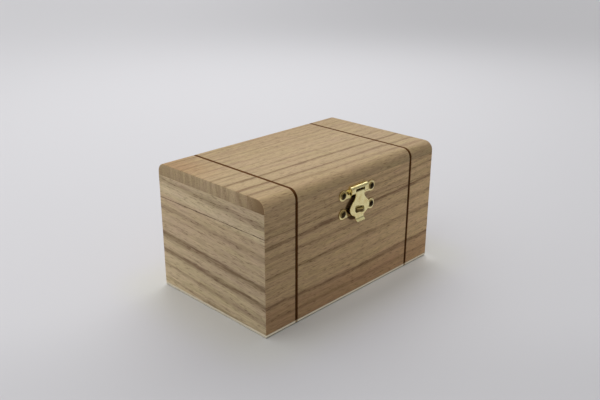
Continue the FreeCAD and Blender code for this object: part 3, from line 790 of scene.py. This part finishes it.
# Flat piece cut from sheet: each closed outline is carried from the low to the high face, both edges eased on a
# quarter circle, and the two faces are filled between the eased outlines. Holes run the other way round.
def pressedSheet(outlines, low, high, ease, place, steps=3, lowEase=None):
    turn = np.linspace(0, np.pi / 2, steps + 1)
    inset, depth = 1 - np.sin(turn), 1 - np.cos(turn)
    lowEase = lowEase or ease
    inset = np.concatenate([inset * lowEase, inset[::-1] * ease])
    level = np.concatenate([low + depth * lowEase, high - depth[::-1] * ease])
    points, groups, rims, count = [], [], [], 0
    for outline in outlines:
        outline = np.asarray(outline, float)
        ahead = np.roll(outline, -1, 0) - outline
        ahead = ahead / np.linalg.norm(ahead, axis=1)[:, None]
        normal = np.stack([ahead[:, 1], -ahead[:, 0]], -1)
        before = np.roll(normal, 1, 0)
        outward = (normal + before) / (1 + (normal * before).sum(1))[:, None]
        flat = outline[None] - outward[None] * inset[:, None, None]
        rows, cols = flat.shape[:2]
        rise = np.broadcast_to(level[:, None, None], (rows, cols, 1))
        points.append(np.concatenate([flat, rise], -1).reshape(-1, 3))
        groups.append(gridQuads(rows, cols) + count)
        rims.append((flat[0], count + np.arange(cols), count + (rows - 1) * cols + np.arange(cols)))
        count += rows * cols
    fill = tessellate_polygon([[(u, v, 0.0) for u, v in rim[0].tolist()] for rim in rims])
    groups += [np.concatenate([rim[k] for rim in rims])[np.array(fill)] for k in (1, 2)]
    u, v, w = np.concatenate(points).T
    return np.stack(place(u, v, w), -1), groups


# Points on an arc about a middle, from one angle to another in degrees, its height squashed where asked
def circleRun(u, v, radius, start, end, steps, squash=1.0):
    turn = np.radians(np.linspace(start, end, steps + 1))
    return np.stack([u + radius * np.cos(turn), v + radius * squash * np.sin(turn)], -1)


# Bottom panel: a rectangle with small round corners, its lower edge eased much more than its upper one
panelShape = {"corner": 0.5, "ease": 0.1, "lowEase": 0.85}


def bottomPanel():
    corner, ease, lowEase = (panelShape[key] for key in ("corner", "ease", "lowEase"))
    x, y = halfLength - corner, halfDepth - corner
    quarters = [(x, -y, -90), (x, y, 0), (-x, y, 90), (-x, -y, 180)]
    outline = np.concatenate([circleRun(u, v, corner, start, start + 90, 5) for u, v, start in quarters])
    return pressedSheet([outline], 0, panelTop, ease, lambda u, v, w: (u, v, w), lowEase=lowEase)


makePiece("bottomPanel", [bottomPanel()], "box_body", "bottom_panel", [plywood])
print("bottom panel built")


# Standing on the front of the box: across, up and out from the wood
def onFront(u, v, w):
    return haspX + u, -halfDepth - w, v


# Right half of an eared outline from its lower to its upper edge, then its mirror image
def earedOutline(middle, half, low, high, inside):
    ear, neck = haspShape["earRadius"], haspShape["neckHalf"]
    opening = 180 - math.degrees(math.asin(neck / ear))
    arc = circleRun(haspShape["earSpread"], middle, ear, -opening, opening, 30)
    foot, head = [(half, low), (half, middle - neck)], [(half, middle + neck), (half, high)]
    right = np.concatenate([foot, arc, head, inside])
    return np.concatenate([right, right[::-1] * np.array([-1, 1])])


# The block's section is a rectangle with two rounded outer corners and a hole for the pin; across the window only
# its upper quarter is left, a sheet thick
def haspPlate():
    shape, pinOut = haspShape, -halfDepth - barrelY
    window, bend, thick = shape["windowHalf"], shape["blockRound"], shape["sheet"]
    low, high = barrelZ - shape["blockDown"], barrelZ + shape["blockUp"]
    bendOut, bendUp = shape["blockOut"] - bend, high - bend
    inside = [(window, barrelZ), (window, low)]
    sheet = earedOutline(earZ, shape["plateHalf"], earZ - shape["plateDown"], barrelZ, inside)
    skins = [pressedSheet([sheet], 0, thick, shape["edgeEase"], onFront)]
    along = lambda u, v, w: (haspX + w, -halfDepth - u, v)
    block = np.concatenate([[(0, low)], circleRun(bendOut, low + bend, bend, -90, 0, 10),
                            circleRun(bendOut, bendUp, bend, 0, 90, 10), [(0, high)]])
    hole = circleRun(pinOut, barrelZ, shape["endHole"], 360, 0, 24)[:-1]
    for start, end in ((-shape["plateHalf"], -window), (window, shape["plateHalf"])):
        skins.append(pressedSheet([block, hole], start, end, shape["blockEase"], along))
    lip = math.degrees(math.asin((barrelZ + shape["bridgeRise"] - bendUp) / bend))
    outer = circleRun(bendOut, bendUp, bend - shape["bridgeSet"], lip, 90, 12)
    inner = circleRun(bendOut, bendUp, bend - thick, 90, lip, 12)
    bridge = np.concatenate([outer, [(0, high - shape["bridgeSet"]), (0, high - thick)], inner])
    reach = window + shape["bridgeOver"]
    skins.append(pressedSheet([bridge], -reach, reach, shape["bridgeEase"], along))
    return skins


# Turned piece: a profile of radius and height about an axis, closed on the axis at both ends; rows from
# squareFrom on are stretched from a circle to a square
def turnedSkin(profile, place, steps=36, squareFrom=None):
    radius, height = np.array(profile[1:-1], float).T
    angle = np.linspace(0, 2 * np.pi, steps, endpoint=False)
    stretch = np.ones((len(radius), steps))
    if squareFrom:
        stretch[squareFrom:] = 1 / np.maximum(np.abs(np.cos(angle)), np.abs(np.sin(angle)))
    u, v = radius[:, None] * np.cos(angle) * stretch, radius[:, None] * np.sin(angle) * stretch
    w = np.broadcast_to(height[:, None], u.shape)
    tips = [(0, 0, profile[0][1]), (0, 0, profile[-1][1])]
    points = np.concatenate([np.stack([u, v, w], -1).reshape(-1, 3), tips])
    ring, last = np.arange(steps), (len(radius) - 1) * steps
    ends = [np.stack([np.full(steps, last + steps + k), first + ring, first + (ring + 1) % steps], -1)
            for k, first in ((0, 0), (1, last))]
    return np.stack(place(*points.T), -1), [gridQuads(len(radius), steps)] + ends


# Cut nail: a domed head, part of a ball, with a small upright edge, and a square shank that tapers to its point
nailShapes = {
    "hasp": {"radius": 2.4, "height": 1.4, "edge": 0.22, "shank": 0.6, "length": 6.5},
    "hinge": {"radius": 1.5, "height": 0.7, "edge": 0.18, "shank": 0.5, "length": 6.5},
}
nailDetail = {"underEase": 0.06, "straight": 0.4, "point": 0.4, "domeSteps": 8}


def nail(shape, place):
    radius, height, edge, shank, length = (shape[key] for key in ("radius", "height", "edge", "shank", "length"))
    rise = height - edge
    ball = (radius ** 2 + rise ** 2) / (2 * rise)
    turn = np.linspace(0, math.asin(radius / ball), nailDetail["domeSteps"] + 1)
    dome = [(ball * math.sin(t), height - ball + ball * math.cos(t)) for t in turn]
    rim = [(radius, edge / 2), (radius - nailDetail["underEase"], 0.0)]
    stem = [(shank, 0.0), (shank, -nailDetail["straight"]), (shank * nailDetail["point"], -length), (0, -length)]
    return turnedSkin(dome + rim + stem, place, squareFrom=len(dome) + 1)


# Pin along the box's length: a round rod, with a wider rounded head at each end where asked
rodShape = {"crown": 0.7, "shoulder": 0.05, "steps": 20}


def rodSkin(radius, start, end, y, z, headRadius=0.0, head=0.0):
    big, step = max(headRadius, radius), rodShape["shoulder"]
    crown = big * rodShape["crown"]
    first = [(0, start - head), (crown, start - head), (big, start - head / 2), (big, start), (radius, start + step)]
    last = [(radius, end - step), (big, end), (big, end + head / 2), (crown, end + head), (0, end + head)]
    return turnedSkin(first + last, lambda u, v, w: (w, y + u, z + v), steps=rodShape["steps"])


# Two nails, one in each ear, standing on the sheet at a height
def haspNails(height):
    out, spread = haspShape["sheet"], haspShape["earSpread"]
    return [nail(nailShapes["hasp"], lambda u, v, w, x=x: onFront(x + u, height + v, out + w))
            for x in (-spread, spread)]


# Catch plate: an eared sheet and a lug pressed out of it, half an oval seen from above
def catchPlate():
    shape, rise = haspShape, haspShape["catchRise"]
    sheet = earedOutline(catchZ, shape["catchHalf"], catchZ - rise, catchZ + rise, np.zeros((0, 2)))
    low = catchZ + shape["lugLift"] - shape["lugRise"]
    lug = circleRun(0, 0, shape["lugHalf"], 0, 180, 40, shape["lugReach"] / shape["lugHalf"])
    across = lambda u, v, w: onFront(u, w, v)
    return [pressedSheet([sheet], 0, shape["sheet"], shape["edgeEase"], onFront),
            pressedSheet([lug], low, low + 2 * shape["lugRise"], shape["lugEase"], across)]


# Evenly spaced points from a start to an end
def straightRun(start, end, steps):
    return np.array(start) + (np.array(end) - np.array(start)) * np.linspace(0, 1, steps + 1)[:, None]


# Side of the pear: a smooth curve that leaves both its ends upright
def flankRun(low, high, pull):
    t = np.linspace(0, 1, 31)[:, None]
    ends = (2 * t ** 3 - 3 * t ** 2 + 1) * low + (3 * t ** 2 - 2 * t ** 3) * high
    return ends + (2 * t ** 3 - 3 * t ** 2 + t) * np.array([0, pull])


# Outline of the flat tongue: its right half from the lip's end up to the roll's end, then its mirror image
def tongueOutline(lipEnd, rollEnd):
    half, corner, neck, wide = (tongueShape[key] for key in ("lipHalf", "lipCorner", "neckHalf", "bellyHalf"))
    meet = math.degrees(math.acos(half / wide))
    curve = circleRun(0, bellyZ, wide, -meet, 0, 22, tongueShape["bellyDrop"] / wide)
    widest, shoulder = np.array([wide, bellyZ]), np.array([neck, barrelZ - tongueShape["neckLength"]])
    right = np.concatenate([
        straightRun((0, lipEnd), (half - corner, lipEnd), 8),
        circleRun(half - corner, lipEnd + corner, corner, -90, 0, 5),
        straightRun((half, lipEnd + corner), curve[0], 10)[1:-1],
        curve,
        flankRun(widest, shoulder, np.linalg.norm(widest - shoulder))[1:],
        straightRun(shoulder, (neck, rollEnd), 34)[1:],
        straightRun((neck, rollEnd), (0, rollEnd), 8)[1:],
    ])
    return np.concatenate([right, right[-2:0:-1] * np.array([-1, 1])])


# Distance along each ray from the slot's middle to its edge: to the straight side, or beyond it to the round end
def slotEdge(ray):
    radius = tongueShape["slotRadius"]
    end = tongueShape["slotHalf"] - radius
    across, up = np.abs(ray[:, 0]), np.abs(ray[:, 1])
    toSide = radius / np.maximum(up, 1e-6)
    toEnd = end * across + np.sqrt(np.maximum(radius ** 2 - (end * up) ** 2, 0))
    return np.where(toSide * across <= end, toSide, toEnd)


# Section of the sheet along a ray, out on one face and back on the other: share of the way from the slot to the
# outline, how far the rounded edge stands beyond it, and the lift from the sheet's middle
def sheetSection():
    ease, thick = tongueShape["edgeEase"], tongueShape["sheet"] / 2
    face = np.concatenate([np.linspace(0, 0.68, 12), np.linspace(0.68, 1, 30)[1:]])  # closer towards the outline
    turn = np.radians([30, 60, 90])
    share = np.concatenate([face, np.ones(6), face[::-1], np.zeros(6)])
    bulge = ease * np.concatenate([np.sin(turn), np.sin(turn)[::-1]])
    beyond = np.concatenate([0 * face, bulge, 0 * face, -bulge])
    fall = thick - ease + ease * np.cos(turn)
    drop = np.concatenate([fall, -fall[::-1]])
    return share, beyond, np.concatenate([0 * face + thick, drop, 0 * face - thick, -drop])


# Tongue: one flat pattern, bent. Rays from the slot's middle run from the slot's edge to the outline; round each
# ray's sheet the section is a thin rounded strip. Above the barrel's height the sheet rolls back round the pin,
# and below the lip's height it turns outwards on an arc and runs on straight.
def bentTongue():
    shape, ease = tongueShape, tongueShape["edgeEase"]
    rollMid = shape["rollRadius"] - shape["sheet"] / 2
    lipMid = shape["lipRadius"] + shape["sheet"] / 2
    lipTurn = math.radians(shape["lipTurn"])
    lipZ = bellyZ - shape["bellyDrop"] - shape["lipStraight"]
    lipEnd = lipZ - lipMid * lipTurn - shape["lipFlat"]
    rollEnd = barrelZ + rollMid * math.radians(shape["rollTurn"])
    slotZ = catchZ + shape["slotRise"]
    ray = tongueOutline(lipEnd, rollEnd) - np.array([0, slotZ])
    far = np.linalg.norm(ray, axis=1)
    ray = ray / far[:, None]
    near = slotEdge(ray)
    share, beyond, lift = sheetSection()
    out = near[:, None] + ease + share * (far - near - 2 * ease)[:, None] + beyond
    x, s = ray[:, :1] * out, slotZ + ray[:, 1:] * out
    flatY = barrelY - rollMid
    roll, lip = np.maximum(s - barrelZ, 0) / rollMid, np.maximum(lipZ - s, 0) / lipMid
    y = np.where(roll > 0, barrelY - (rollMid + lift) * np.cos(roll), flatY - lift)
    z = np.where(roll > 0, barrelZ + (rollMid + lift) * np.sin(roll), s)
    runOn, lip = np.maximum(lip - lipTurn, 0) * lipMid, np.minimum(lip, lipTurn)
    y = np.where(lip > 0, flatY - lipMid + (lipMid - lift) * np.cos(lip) - runOn * math.sin(lipTurn), y)
    z = np.where(lip > 0, lipZ - (lipMid - lift) * np.sin(lip) - runOn * math.cos(lipTurn), z)
    points = np.stack([haspX + x, y, z], -1)
    return points.reshape(-1, 3), [gridQuads(*points.shape[:2], wrapRows=True)]


pinLow, pinHigh = haspX - haspShape["pinHalf"], haspX + haspShape["pinHalf"]
haspPin = rodSkin(haspShape["pinRadius"], pinLow, pinHigh, barrelY, barrelZ)
makePiece("haspPlate", haspPlate(), "lid", "hasp_plate", [brass])
makePiece("haspPin", [haspPin], "lid", "hasp_pin", [agedBrass])
makePiece("haspPlateNails", haspNails(earZ), "lid", "hasp_plate_nails", [darkBrass])
makePiece("catchPlate", catchPlate(), "box_body", "catch_plate", [brass, shadedLugBrass])
makePiece("catchNails", haspNails(catchZ), "box_body", "catch_plate_nails", [darkBrass])
makePiece("haspTongue", [bentTongue()], "hasp_tongue", "hasp_tongue", [brass])
print("hasp built")

# Hinge: each leaf is a sheet with tabs up to the pin's line, and a rolled knuckle at each tab
hingeShape = {"fromEnd": 40, "half": 9.0, "height": 9.0, "sheet": 0.8, "edgeEase": 0.15, "knuckleRadius": 1.7,
              "knuckleEase": 0.12, "bore": 0.85, "tabHalf": 3.3, "gap": 0.2, "relief": 2.0, "pinRadius": 0.8,
              "pinHeadRadius": 1.1, "pinHead": 0.5, "nailFromEnd": 3.8, "nailRise": 5.6}


# Leaf at a place along the back: its outline as a sheet on the wood, and a bored ring carried along each knuckle
def hingeLeaf(x, outline, knuckles):
    shape = hingeShape
    onBack = lambda u, v, w: (x + u, halfDepth + w, hingeZ + v)
    ring = [circleRun(hingeY, hingeZ, shape["knuckleRadius"], 0, 360, 32)[:-1],
            circleRun(hingeY, hingeZ, shape["bore"], 360, 0, 24)[:-1]]
    rolls = [pressedSheet(ring, x + low, x + high, shape["knuckleEase"], lambda u, v, w: (w, u, v))
             for low, high in knuckles]
    return [pressedSheet([outline], 0, shape["sheet"], shape["edgeEase"], onBack)] + rolls


# Nails of the leaves on one side of the pin's line, two in each, above it or below it
def hingeNails(direction):
    reach, rise = hingeShape["half"] - hingeShape["nailFromEnd"], direction * hingeShape["nailRise"]
    spots = [side * (halfLength - hingeShape["fromEnd"]) + step for side in (-1, 1) for step in (-reach, reach)]
    out = halfDepth + hingeShape["sheet"]
    return [nail(nailShapes["hinge"], lambda u, v, w, x=x: (x + u, out + w, hingeZ + rise + v)) for x in spots]


half, tab, tall, relief = (hingeShape[key] for key in ("half", "tabHalf", "height", "relief"))
outer = tab + hingeShape["gap"]
lidOutline = [(-tab, 0), (tab, 0), (tab, relief), (half, relief),
              (half, tall), (-half, tall), (-half, relief), (-tab, relief)]
bodyOutline = [(-half, -tall), (half, -tall), (half, 0), (outer, 0),
               (outer, -relief), (-outer, -relief), (-outer, 0), (-half, 0)]
for end, x in (("left", hingeShape["fromEnd"] - halfLength), ("right", halfLength - hingeShape["fromEnd"])):
    lidLeaf = hingeLeaf(x, lidOutline, [(-tab, tab)])
    bodyLeaf = hingeLeaf(x, bodyOutline, [(-half, -outer), (outer, half)])
    pin = rodSkin(hingeShape["pinRadius"], x - half, x + half, hingeY, hingeZ,
                  hingeShape["pinHeadRadius"], hingeShape["pinHead"])
    makePiece(end + "LidLeaf", lidLeaf, "lid", end + "_hinge_lid_leaf", [brass])
    makePiece(end + "BodyLeaf", bodyLeaf, "box_body", end + "_hinge_body_leaf", [brass])
    makePiece(end + "HingePin", [pin], "box_body", end + "_hinge_pin", [agedBrass])
makePiece("lidHingeNails", hingeNails(1), "lid", "hinge_lid_nails", [agedBrass])
makePiece("bodyHingeNails", hingeNails(-1), "box_body", "hinge_body_nails", [agedBrass])
print("hinges built")


# Floor: one pale sheet with painted light on it: a little brighter to the left and darker to the far right and close
# to the viewer, a painted pool of bounced light along the foot of the front wall, and a warmer painted bounce near
# the box. Sizes and limits in millimetres.
floorLook = {"half": 3000, "drop": 0.05, "colour": (0.578, 0.573, 0.594), "fade": (-700, 600), "dim": 0.9,
             "bright": 1.155, "near": (-210, -80), "nearDim": 0.92, "edgeBounceLight": 0.3, "edgeReach": (0, 14),
             "edgeBack": (-8, -1), "edgeFrom": (-70, 30), "edgeTo": (74, 86), "bounceWarmth": 0.07, "warmReach": (8, 45),
             "roughness": 0.6, "specular": 0.2}


# Painted light level from the slant across the view, the nearness and the painted bounce along the front wall;
# blue is held back by the distance from the box, for a warm painted bounce near it
def makeFloor():
    look = floorLook
    corners = np.array([(-1, -1), (1, -1), (1, 1), (-1, 1)]) * look["half"]
    points = np.concatenate([corners, np.full((4, 1), -look["drop"])], -1) * 0.001
    mesh = bpy.data.meshes.new("floor")
    mesh.from_pydata(points.tolist(), [], [(0, 1, 2, 3)])
    material, tree, shader, axes = newMaterial("paleFloor")
    x, y = axes["x"], axes["y"]
    level = times(tree, fade(tree, minus(tree, y, x), *look["fade"], look["dim"], look["bright"]),
                  fade(tree, calc(tree, "ADD", y, x), *look["near"], look["nearDim"], 1.0))
    # Painted bounced light along the foot of the front wall
    out = minus(tree, -halfDepth, y)
    lift = times(tree, fadeOut(tree, out, *look["edgeReach"]), fade(tree, out, *look["edgeBack"]),
                 fade(tree, x, *look["edgeFrom"]), fadeOut(tree, x, *look["edgeTo"]))
    level = times(tree, level, plus(tree, 1.0, lift, look["edgeBounceLight"]))
    gaps = (calc(tree, "MAXIMUM", minus(tree, calc(tree, "ABSOLUTE", axis), reach), 0.0)
            for axis, reach in ((x, halfLength), (y, halfDepth)))
    bounceTint = fade(tree, distance(tree, *gaps), *look["warmReach"], 1.0 - look["bounceWarmth"], 1.0)
    tone = addNode(tree, "ShaderNodeCombineXYZ", {"X": level, "Y": level, "Z": times(tree, level, bounceTint)}).outputs[0]
    tree.links.new(tint(tree, 1.0, look["colour"], tone), shader.inputs["Base Color"])
    shader.inputs["Roughness"].default_value = look["roughness"]
    shader.inputs["Specular IOR Level"].default_value = look["specular"]
    mesh.materials.append(material)
    floor = bpy.data.objects.new("floor", mesh)
    scene.collection.objects.link(floor)


makeFloor()

# Light: an even sky, dimmer towards the front and brighter overhead, and one wide soft lamp above
skyLook = {"level": 0.9, "frontDrop": 0.77, "overhead": 0.45, "front": (0.25, -0.97, 0.0), "fade": (-0.22, 0.6)}
lampLook = {"place": (0.5, 0.3, 0.65), "size": 0.9, "power": 2.2}


# Sky level falls smoothly with the share of a direction that points to the front, and grows with the square of its
# height; the lamp faces the middle of the box
def makeLight():
    world = bpy.data.worlds.new("room")
    scene.world = world
    world.use_nodes = True
    tree = world.node_tree
    ray = addNode(tree, "ShaderNodeTexCoord").outputs["Generated"]
    height = addNode(tree, "ShaderNodeSeparateXYZ", {0: ray}).outputs[2]
    front = addNode(tree, "ShaderNodeVectorMath", {0: ray, 1: skyLook["front"]}, operation="DOT_PRODUCT")
    low = skyLook["level"] * (1 - skyLook["frontDrop"])
    level = fade(tree, front.outputs["Value"], *skyLook["fade"], skyLook["level"], low)
    level = plus(tree, level, calc(tree, "POWER", height, 2.0), skyLook["overhead"])
    tree.links.new(level, tree.nodes["Background"].inputs["Strength"])
    tree.nodes["Background"].inputs["Color"].default_value = (1, 1, 1, 1)
    lamp = bpy.data.lights.new("softLamp", "AREA")
    lamp.shape = "DISK"
    lamp.size = lampLook["size"]
    lamp.energy = lampLook["power"]
    holder = bpy.data.objects.new("softLamp", lamp)
    place = Vector(lampLook["place"])
    holder.matrix_world = Matrix.Translation(place) @ place.to_track_quat("Z", "Y").to_matrix().to_4x4()
    scene.collection.objects.link(holder)


makeLight()

# Camera: turned about the box by azimuth and elevation, with a slight roll
cameraLook = {"lens": 43.7606, "sensor": 36, "azimuth": -45.88409, "elevation": 21.34197, "roll": 0.18791,
              "place": (-0.33146824, -0.32011333, 0.23203935), "clipStart": 0.01}


# Right, up and back directions from the two angles, then right and up turned about back by the roll
def makeCamera():
    azimuth, elevation, roll = (math.radians(cameraLook[key]) for key in ("azimuth", "elevation", "roll"))
    right = np.array([math.cos(azimuth), math.sin(azimuth), 0])
    level = np.array([math.sin(azimuth), -math.cos(azimuth), 0])
    back = level * math.cos(elevation) + np.array([0, 0, math.sin(elevation)])
    up = np.cross(back, right)
    rolledRight = math.cos(roll) * right + math.sin(roll) * up
    rolledUp = math.cos(roll) * up - math.sin(roll) * right
    turned = Matrix(np.stack([rolledRight, rolledUp, back], -1).tolist())
    lens = bpy.data.cameras.new("camera")
    lens.lens = cameraLook["lens"]
    lens.sensor_width = cameraLook["sensor"]
    lens.clip_start = cameraLook["clipStart"]
    camera = bpy.data.objects.new("camera", lens)
    camera.matrix_world = Matrix.Translation(cameraLook["place"]) @ turned.to_4x4()
    scene.collection.objects.link(camera)
    scene.camera = camera


makeCamera()

print("scene ready")
